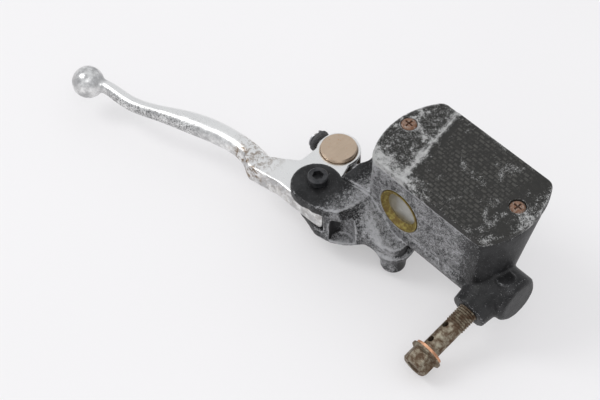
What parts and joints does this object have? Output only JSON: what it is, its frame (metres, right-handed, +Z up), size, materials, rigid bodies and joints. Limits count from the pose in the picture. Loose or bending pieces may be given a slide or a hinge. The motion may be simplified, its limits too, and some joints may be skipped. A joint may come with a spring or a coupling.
{
  "type": "brake master cylinder",
  "caption": "Motorcycle front brake master cylinder with an integral reservoir and sight glass, a pivoting ball-end lever, an adjustable push rod, a handlebar clamp and a banjo bolt.",
  "frame": {"origin": "centre of the handlebar clamp, on the bar's axis", "axes": "+X along the bar from the lever's ball towards the outlet, +Y towards the rider, +Z up, square to the reservoir cap"},
  "size_m": [0.2508, 0.1143, 0.072],
  "materials": {
    "cast_black": "black paint over cast aluminium, speckled with fine pale oxide",
    "cap_black": "worn black paint, whitish corrosion on the rim",
    "lever_aluminium": "polished and worn",
    "bronze": "matte bronze",
    "wheel_plastic": "dark grey moulded plastic",
    "black_steel": "black oxide",
    "zinc_steel": "zinc plated",
    "spring_steel": "spring steel",
    "rusty_screw": "rusted plating",
    "banjo_steel": "aged olive-grey zinc plating",
    "copper": "annealed copper",
    "seal_rubber": "black rubber",
    "piston_aluminium": "hard anodised",
    "sight_ring": "olive-yellow passivated ring",
    "sight_lens": "milky clear plastic",
    "shield_steel": "thin stainless steel"
  },
  "bodies": {
    "root": {"master_body": "cast_black", "reservoir_cap": "cap_black", "cap_screws": "rusty_screw", "diaphragm_plate": "wheel_plastic", "diaphragm": "seal_rubber", "port_shield": "shield_steel", "return_spring": "spring_steel", "clamp_holder": "cast_black", "banjo_bolt": "banjo_steel", "copper_washer": "copper", "sight_glass_seal": "seal_rubber", "sight_glass_lens": "sight_lens", "sight_glass_ring": "sight_ring", "pivot_bolt": "black_steel", "pivot_washer": "zinc_steel", "pivot_nut": "zinc_steel", "retaining_washer": "zinc_steel", "circlip": "spring_steel", "dust_boot": "seal_rubber", "clamp_bolts": "zinc_steel", "clamp_washers": "zinc_steel"},
    "lever": {"lever": "lever_aluminium", "pivot_bush": "bronze"},
    "barrel": {"push_rod_barrel": "bronze"},
    "adjuster": {"push_rod": "zinc_steel", "adjuster_wheel": "wheel_plastic", "wheel_clip": "spring_steel"},
    "piston": {"piston": "piston_aluminium", "secondary_cup": "seal_rubber", "primary_cup": "seal_rubber", "spring_seat": "zinc_steel"}
  },
  "joints": [
    {"name": "lever_pull", "type": "hinge", "parent": "root", "child": "lever", "pos_m": [-0.0175, -0.054, 0.009], "axis": [0, 0, -1], "range_deg": [0, 20], "stiffness_Nm_per_rad": 0.6, "springref_deg": -20.05},
    {"name": "barrel_swivel", "type": "hinge", "parent": "lever", "child": "barrel", "pos_m": [-0.028, -0.03, 0.009], "axis": [0, 0, -1], "range_deg": [-15, 0]},
    {"name": "adjuster_turn", "type": "hinge", "parent": "barrel", "child": "adjuster", "pos_m": [-0.028, -0.03, 0.009], "axis": [1, 0, 0], "range_deg": [-180, 180]},
    {"name": "piston_slide", "type": "slide", "parent": "root", "child": "piston", "axis": [1, 0, 0], "range_m": [0, 0.009], "deforming": ["return_spring", "dust_boot"]}
  ],
  "couplings": [
    {"joint": "barrel_swivel", "follows": "lever_pull", "ratio": -0.73},
    {"joint": "piston_slide", "follows": "lever_pull", "m_per_rad": 0.0253}
  ]
}
